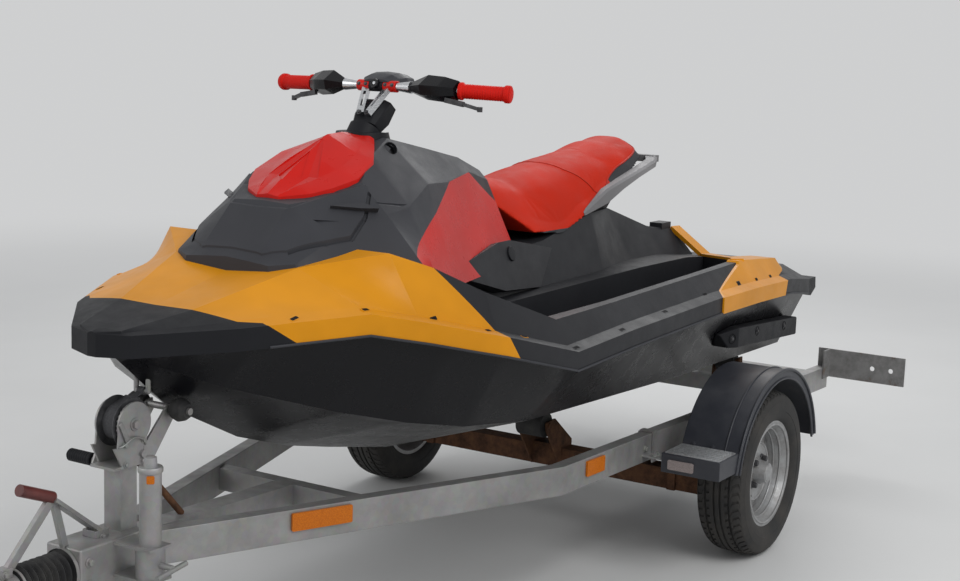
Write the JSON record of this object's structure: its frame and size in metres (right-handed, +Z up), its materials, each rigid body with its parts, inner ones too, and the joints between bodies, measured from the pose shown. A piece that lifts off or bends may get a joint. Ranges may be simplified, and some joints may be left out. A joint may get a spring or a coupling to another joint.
{
  "type": "personal watercraft on trailer",
  "caption": "Sit-down personal watercraft with faceted hull, saddle seat and jet drive, carried on a galvanised single-axle braked road trailer with winch post and jockey wheel.",
  "frame": {"origin": "Centre of the outfit's footprint on the floor: halfway between coupling nose and lamp plates, on the centre plane, under the tyres.", "axes": "+X runs forward to the bow and the coupling, +Y to port, +Z up."},
  "size_m": [3.8, 1.524, 1.4538],
  "materials": {
    "hull_plastic": "smooth moulded, black",
    "deck_plastic": "fine-grained moulded, charcoal",
    "bumper_plastic": "textured, black",
    "amber_plastic": "polished, amber",
    "red_plastic": "polished, red",
    "seat_vinyl": "stretched vinyl, red with dark tail",
    "grey_plastic": "moulded, light grey",
    "engine_iron": "plain block",
    "pump_alloy": "cast",
    "impeller_steel": "polished",
    "zinc_steel": "hot-dip galvanised",
    "rusty_steel": "rusted",
    "bar_metal": "bright",
    "black_plastic": "moulded, black",
    "grip_rubber": "ribbed, red",
    "black_rubber": "plain",
    "tyre_rubber": "treaded",
    "wheel_steel": "silver paint",
    "strap_web": "woven webbing",
    "steel_dark": "dark paint"
  },
  "bodies": {
    "craft_and_trailer": {"hull": "hull_plastic", "engine_block": "engine_iron", "bow_bumper": "bumper_plastic", "front_shroud": "amber_plastic", "nose_cover": "red_plastic", "hood": "deck_plastic", "console": "deck_plastic", "knee_panels": "red_plastic", "deck": "deck_plastic", "seat": "seat_vinyl", "seat_shell": "black_plastic", "grab_handle": "grey_plastic", "rear_platform": "bumper_plastic", "corner_covers": "amber_plastic", "sponsons": "bumper_plastic", "bow_eye": "zinc_steel", "jet_pump": "pump_alloy", "ride_plate": "pump_alloy", "column_cowl": "black_plastic", "chassis_rails": "zinc_steel", "cross_members": "zinc_steel", "axle_beam": "rusty_steel", "mudguards": "black_plastic", "lamp_brackets": "zinc_steel", "rollers": "black_rubber", "roller_bracket": "rusty_steel", "winch_post": "zinc_steel", "winch_strap": "strap_web", "winch_brace": "rusty_steel", "side_doors": "deck_plastic", "door_latches": "black_plastic", "tail_trim": "amber_plastic", "coupling_box": "zinc_steel", "bellows": "black_rubber", "coupling_head": "zinc_steel", "handbrake_lever": "zinc_steel", "handbrake_grip": "black_plastic", "jockey_tube": "zinc_steel"},
    "steering": {"steering_stem": "steel_dark", "riser_arms": "bar_metal", "bar_clamps": "red_plastic", "handlebar": "bar_metal", "grips": "grip_rubber", "hand_guards": "black_plastic", "gauge_cowl": "black_plastic", "levers": "steel_dark"},
    "impeller_unit": {"impeller": "impeller_steel"},
    "nozzle": {"steering_nozzle": "pump_alloy"},
    "gate": {"reverse_gate": "black_plastic"},
    "wheel_unit_port": {"wheel_port": "wheel_steel", "tyre_port": "tyre_rubber"},
    "wheel_unit_starboard": {"wheel_starboard": "wheel_steel", "tyre_starboard": "tyre_rubber"},
    "jockey_leg_unit": {"jockey_leg": "zinc_steel"},
    "jockey_fork_unit": {"jockey_fork": "zinc_steel"},
    "jockey_wheel_unit": {"jockey_wheel": "black_rubber"},
    "drum_unit": {"winch_drum": "steel_dark"},
    "crank_unit": {"winch_crank": "zinc_steel", "crank_grip": "black_plastic"}
  },
  "joints": [
    {"name": "steering_turn", "type": "hinge", "parent": "craft_and_trailer", "child": "steering", "pos_m": [0.458, 0, 1.286], "axis": [-0.6157, 0, 0.788], "range_deg": [-25, 25]},
    {"name": "nozzle_turn", "type": "hinge", "parent": "craft_and_trailer", "child": "nozzle", "pos_m": [-1.405, 0, 0.462], "axis": [0, 0, 1], "range_deg": [-20, 20]},
    {"name": "reverse_gate_swing", "type": "hinge", "parent": "craft_and_trailer", "child": "gate", "pos_m": [-1.44, 0, 0.482], "axis": [0, -1, 0], "range_deg": [0, 62]},
    {"name": "impeller_spin", "type": "hinge", "parent": "craft_and_trailer", "child": "impeller_unit", "pos_m": [-1.2, 0, 0.462], "axis": [1, 0, 0], "continuous": true},
    {"name": "wheel_port_spin", "type": "hinge", "parent": "craft_and_trailer", "child": "wheel_unit_port", "pos_m": [-0.7, 0.663, 0.2565], "axis": [0, 1, 0], "continuous": true},
    {"name": "wheel_starboard_spin", "type": "hinge", "parent": "craft_and_trailer", "child": "wheel_unit_starboard", "pos_m": [-0.7, -0.663, 0.2565], "axis": [0, 1, 0], "continuous": true},
    {"name": "jockey_height", "type": "slide", "parent": "craft_and_trailer", "child": "jockey_leg_unit", "axis": [0, 0, 1], "range_m": [-0.1, 0.14]},
    {"name": "jockey_swivel", "type": "hinge", "parent": "jockey_leg_unit", "child": "jockey_fork_unit", "pos_m": [1.372, 0.13, 0.2], "axis": [0, 0, 1], "continuous": true},
    {"name": "jockey_roll", "type": "hinge", "parent": "jockey_fork_unit", "child": "jockey_wheel_unit", "pos_m": [1.327, 0.13, 0.08], "axis": [0, 1, 0], "continuous": true},
    {"name": "winch_drum_spin", "type": "hinge", "parent": "craft_and_trailer", "child": "drum_unit", "pos_m": [1.322, 0, 0.692], "axis": [0, 1, 0], "continuous": true},
    {"name": "winch_crank_turn", "type": "hinge", "parent": "craft_and_trailer", "child": "crank_unit", "pos_m": [1.3, -0.06, 0.622], "axis": [0, 1, 0], "continuous": true}
  ],
  "couplings": [
    {"joint": "nozzle_turn", "follows": "steering_turn", "ratio": -0.8},
    {"joint": "winch_crank_turn", "follows": "winch_drum_spin", "ratio": -4}
  ]
}
